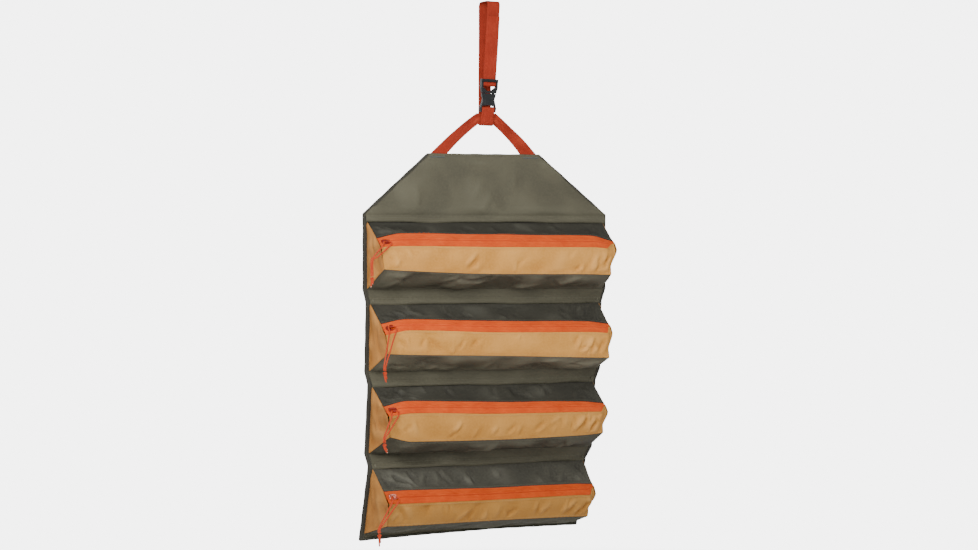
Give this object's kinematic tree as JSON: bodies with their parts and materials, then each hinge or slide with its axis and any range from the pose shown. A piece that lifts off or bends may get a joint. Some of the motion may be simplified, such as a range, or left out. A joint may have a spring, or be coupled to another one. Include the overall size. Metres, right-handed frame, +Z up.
{
  "type": "camp kitchen utensil roll",
  "caption": "Hanging fabric utensil roll: zipped pockets on a folding panel, with a webbing yoke and a buckled hanging strap.",
  "frame": {"origin": "inner top of the hanging strap's loop, where a hook or rail carries the roll", "axes": "+Z up, +X to the right as seen from the front, and the pockets face -Y"},
  "size_m": [0.4425, 0.1884, 0.8766],
  "materials": {
    "olive_canvas": "coated canvas, olive",
    "dark_canvas": "coated canvas, dark olive",
    "tan_canvas": "waxed canvas, tan",
    "orange_zip": "reverse-coil zip tape, orange",
    "orange_webbing": "woven webbing, burnt orange",
    "orange_cord": "braided cord, orange",
    "slider_metal": "painted zinc, orange",
    "buckle_plastic": "moulded plastic, dark grey"
  },
  "bodies": {
    "strap": {"hanging_strap": "orange_webbing", "buckle_receiver": "buckle_plastic"},
    "adjuster": {"buckle_adjuster": "buckle_plastic", "strap_tail": "orange_webbing"},
    "arm_left": {"buckle_arm_left": "buckle_plastic"},
    "arm_right": {"buckle_arm_right": "buckle_plastic"},
    "head": {"yoke_webbing": "orange_webbing", "head_back_panel": "olive_canvas", "head_front_panel": "olive_canvas"},
    "section_1": {"back_panel_1": "olive_canvas", "pocket_1_front_panel": "tan_canvas", "pocket_1_lower_panel": "dark_canvas", "pocket_1_left_gusset": "tan_canvas", "pocket_1_right_gusset": "tan_canvas", "zipper_1_lower_tape": "orange_zip"},
    "flap_1": {"pocket_1_upper_panel": "dark_canvas", "zipper_1_upper_tape": "orange_zip"},
    "slider_1": {"zipper_1_slider": "slider_metal"},
    "pull_1": {"zipper_1_cord": "orange_cord", "zipper_1_cord_knot": "orange_cord"},
    "section_2": {"back_panel_2": "olive_canvas", "pocket_2_front_panel": "tan_canvas", "pocket_2_lower_panel": "dark_canvas", "pocket_2_left_gusset": "tan_canvas", "pocket_2_right_gusset": "tan_canvas", "zipper_2_lower_tape": "orange_zip"},
    "flap_2": {"pocket_2_upper_panel": "dark_canvas", "zipper_2_upper_tape": "orange_zip"},
    "slider_2": {"zipper_2_slider": "slider_metal"},
    "pull_2": {"zipper_2_cord": "orange_cord", "zipper_2_cord_knot": "orange_cord"},
    "section_3": {"back_panel_3": "olive_canvas", "pocket_3_front_panel": "tan_canvas", "pocket_3_lower_panel": "dark_canvas", "pocket_3_left_gusset": "tan_canvas", "pocket_3_right_gusset": "tan_canvas", "zipper_3_lower_tape": "orange_zip"},
    "flap_3": {"pocket_3_upper_panel": "dark_canvas", "zipper_3_upper_tape": "orange_zip"},
    "slider_3": {"zipper_3_slider": "slider_metal"},
    "pull_3": {"zipper_3_cord": "orange_cord", "zipper_3_cord_knot": "orange_cord"},
    "section_4": {"back_panel_4": "olive_canvas", "pocket_4_front_panel": "tan_canvas", "pocket_4_lower_panel": "dark_canvas", "pocket_4_left_gusset": "tan_canvas", "pocket_4_right_gusset": "tan_canvas", "zipper_4_lower_tape": "orange_zip"},
    "flap_4": {"pocket_4_upper_panel": "dark_canvas", "zipper_4_upper_tape": "orange_zip"},
    "slider_4": {"zipper_4_slider": "slider_metal"},
    "pull_4": {"zipper_4_cord": "orange_cord", "zipper_4_cord_knot": "orange_cord"}
  },
  "joints": [
    {"name": "yoke_pivot", "type": "hinge", "parent": "strap", "child": "head", "pos_m": [-0.00696, 0, -0.18993], "axis": [-1, 0, 0], "range_deg": [-20, 20]},
    {"name": "buckle_release", "type": "slide", "parent": "strap", "child": "adjuster", "axis": [0.0365, -0.0755, 0.9965], "range_m": [0, 0.02]},
    {"name": "arm_left_flex", "type": "hinge", "parent": "adjuster", "child": "arm_left", "pos_m": [-0.01319, -0.00832, -0.14689], "axis": [-0.0028, -0.9971, -0.0754], "range_deg": [0, 11.7]},
    {"name": "arm_right_flex", "type": "hinge", "parent": "adjuster", "child": "arm_right", "pos_m": [0.0024, -0.00832, -0.14746], "axis": [0.0028, 0.9971, 0.0754], "range_deg": [0, 11.7]},
    {"name": "fold_1", "type": "hinge", "parent": "head", "child": "section_1", "pos_m": [-0.00701, 0.00047, -0.35559], "axis": [-0.9994, -0.0349, 0], "range_deg": [-60, 35]},
    {"name": "zip_1_slide", "type": "slide", "parent": "section_1", "child": "slider_1", "axis": [0.9994, 0.0349, 0], "range_m": [0, 0.3948]},
    {"name": "flap_1_lift", "type": "hinge", "parent": "section_1", "child": "flap_1", "pos_m": [-0.00696, -0.00101, -0.358], "axis": [-0.9994, -0.0349, 0], "range_deg": [0, 30]},
    {"name": "pull_1_swing", "type": "hinge", "parent": "slider_1", "child": "pull_1", "pos_m": [-0.20236, -0.06171, -0.39115], "axis": [-0.9994, -0.0349, 0], "range_deg": [-3, 70]},
    {"name": "fold_2", "type": "hinge", "parent": "section_1", "child": "section_2", "pos_m": [-0.00717, 0.00207, -0.48782], "axis": [-0.9954, -0.0958, 0], "range_deg": [-60, 35]},
    {"name": "zip_2_slide", "type": "slide", "parent": "section_2", "child": "slider_2", "axis": [0.9954, 0.0958, 0], "range_m": [0, 0.3948]},
    {"name": "flap_2_lift", "type": "hinge", "parent": "section_2", "child": "flap_2", "pos_m": [-0.00703, 0.00071, -0.49029], "axis": [-0.9954, -0.0958, 0], "range_deg": [0, 30]},
    {"name": "pull_2_swing", "type": "hinge", "parent": "slider_2", "child": "pull_2", "pos_m": [-0.19851, -0.07032, -0.52576], "axis": [-0.9954, -0.0958, 0], "range_deg": [-3, 70]},
    {"name": "fold_3", "type": "hinge", "parent": "section_2", "child": "section_3", "pos_m": [-0.00801, 0.00949, -0.61984], "axis": [-0.9877, -0.1564, 0], "range_deg": [-60, 35]},
    {"name": "zip_3_slide", "type": "slide", "parent": "section_3", "child": "slider_3", "axis": [0.9877, 0.1564, 0], "range_m": [0, 0.3948]},
    {"name": "flap_3_lift", "type": "hinge", "parent": "section_3", "child": "flap_3", "pos_m": [-0.00782, 0.00827, -0.62238], "axis": [-0.9877, -0.1564, 0], "range_deg": [0, 30]},
    {"name": "pull_3_swing", "type": "hinge", "parent": "slider_3", "child": "pull_3", "pos_m": [-0.1949, -0.07241, -0.66054], "axis": [-0.9877, -0.1564, 0], "range_deg": [-3, 70]},
    {"name": "fold_4", "type": "hinge", "parent": "section_3", "child": "section_4", "pos_m": [-0.01058, 0.02435, -0.75108], "axis": [-0.9744, -0.225, 0], "range_deg": [-60, 35]},
    {"name": "zip_4_slide", "type": "slide", "parent": "section_4", "child": "slider_4", "axis": [0.9744, 0.225, 0], "range_m": [0, 0.3948]},
    {"name": "flap_4_lift", "type": "hinge", "parent": "section_4", "child": "flap_4", "pos_m": [-0.01038, 0.02345, -0.75376], "axis": [-0.9744, -0.225, 0], "range_deg": [0, 30]},
    {"name": "pull_4_swing", "type": "hinge", "parent": "slider_4", "child": "pull_4", "pos_m": [-0.19251, -0.06519, -0.79777], "axis": [-0.9744, -0.225, 0], "range_deg": [-3, 70]}
  ],
  "couplings": [
    {"joint": "arm_left_flex", "follows": "buckle_release", "rad_per_m": 10.2},
    {"joint": "arm_right_flex", "follows": "buckle_release", "rad_per_m": 10.2},
    {"joint": "flap_1_lift", "follows": "zip_1_slide", "rad_per_m": 1.326},
    {"joint": "flap_2_lift", "follows": "zip_2_slide", "rad_per_m": 1.326},
    {"joint": "flap_3_lift", "follows": "zip_3_slide", "rad_per_m": 1.326},
    {"joint": "flap_4_lift", "follows": "zip_4_slide", "rad_per_m": 1.326}
  ]
}
